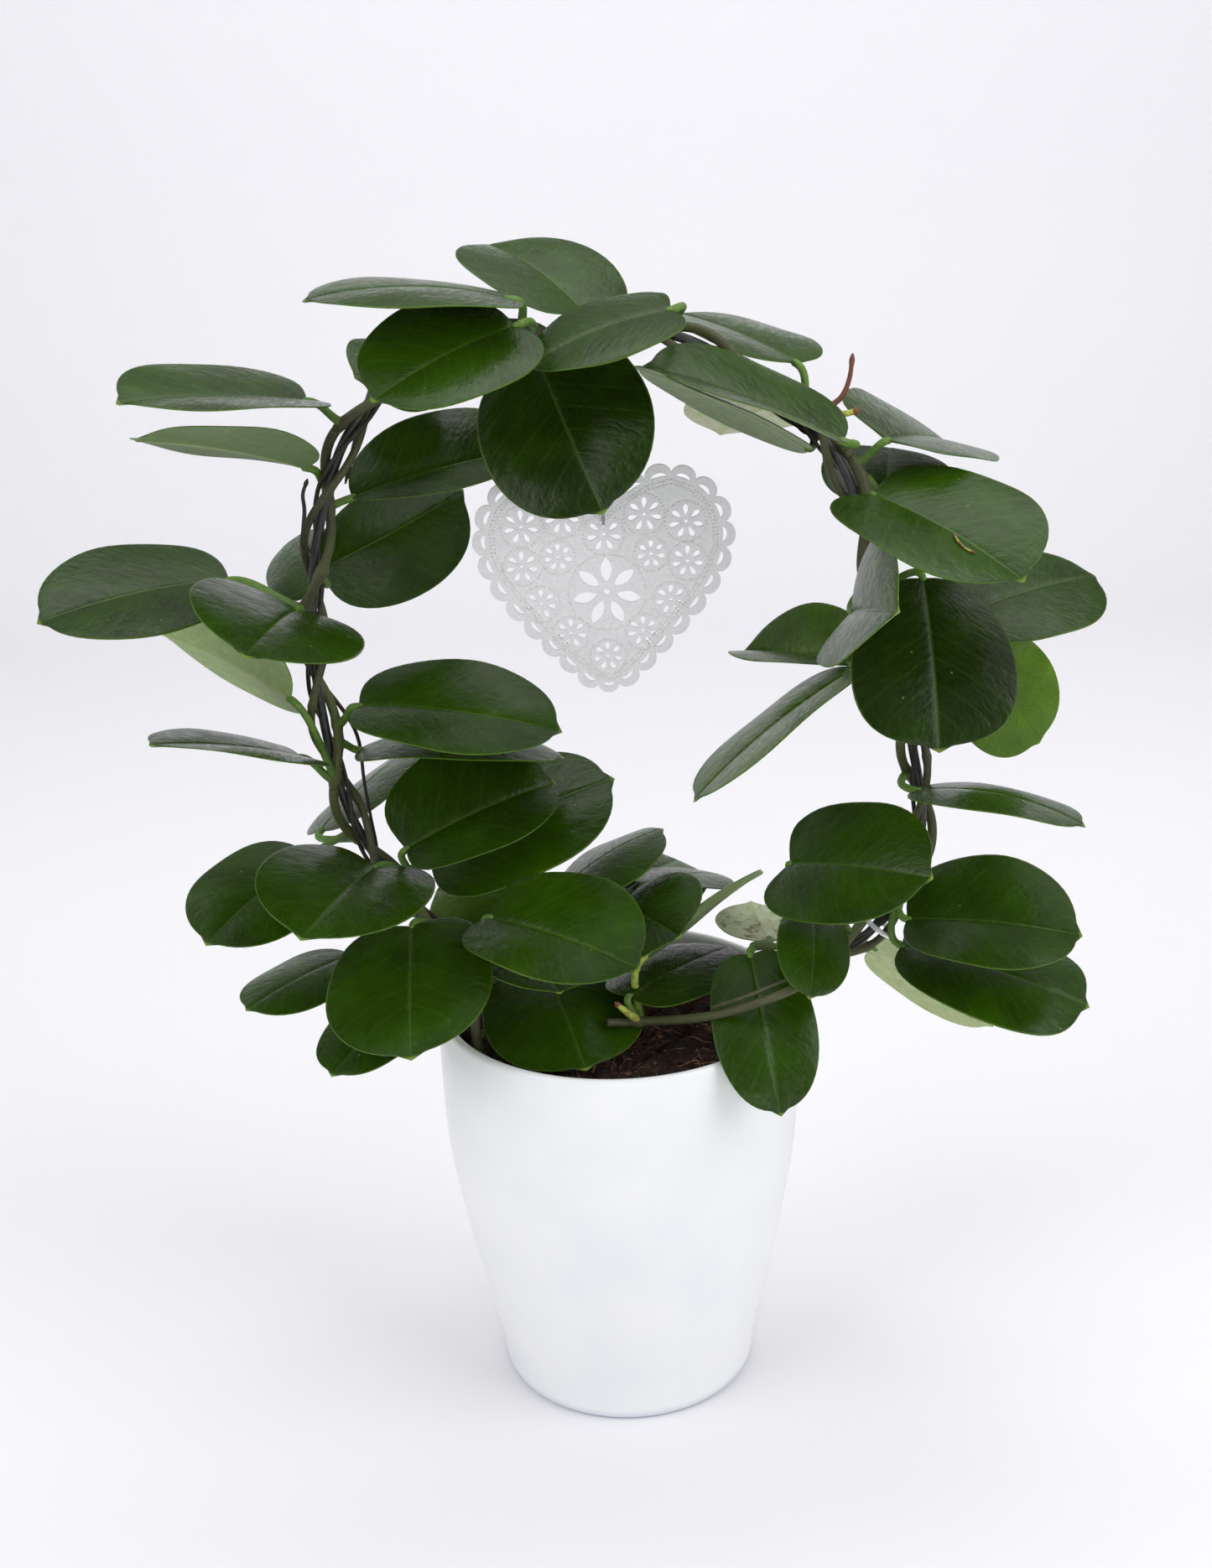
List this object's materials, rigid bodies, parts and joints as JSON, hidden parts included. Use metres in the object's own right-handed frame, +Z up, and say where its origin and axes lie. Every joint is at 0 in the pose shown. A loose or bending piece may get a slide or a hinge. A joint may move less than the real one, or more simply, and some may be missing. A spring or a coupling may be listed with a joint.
{
  "type": "potted hoya australis",
  "caption": "Twining plant with thick rounded leaves trained round a wire hoop in a white pot, with a pierced heart hanging inside the hoop.",
  "frame": {"origin": "centre of the pot's foot, on the surface it stands on", "axes": "+Z up, -Y towards the viewer's side of the plant, the hoop stands in the XZ plane"},
  "size_m": [0.3724, 0.1504, 0.4299],
  "materials": {
    "pot_glaze": "white semi-gloss pot wall",
    "potting_mix": "dark brown coarse coir and bark",
    "coated_wire": "dark plastic-coated wire",
    "stem_bark": "olive brown woody stem",
    "leaf": "thick glossy dark green leaf, paler and matt beneath",
    "heart_paint": "off-white painted pierced sheet metal",
    "clear_tie": "translucent plastic tie"
  },
  "bodies": {
    "root": {"pot": "pot_glaze", "potting_mix": "potting_mix", "hoop": "coated_wire", "twining_stem_left": "stem_bark", "twining_stem_right": "stem_bark", "stem_low_left": "leaf", "stem_mid_left": "leaf", "stem_high_left": "leaf", "stem_top_left": "leaf", "stem_top": "leaf", "stem_top_right": "leaf", "stem_high_right": "leaf", "stem_mid_right": "leaf", "stem_low_right": "leaf", "runner_front": "leaf", "shoot_front": "leaf", "shoot_back": "leaf", "heart": "heart_paint", "heart_hanger": "coated_wire", "tie_left": "clear_tie", "tie_right": "clear_tie"}
  },
  "joints": []
}
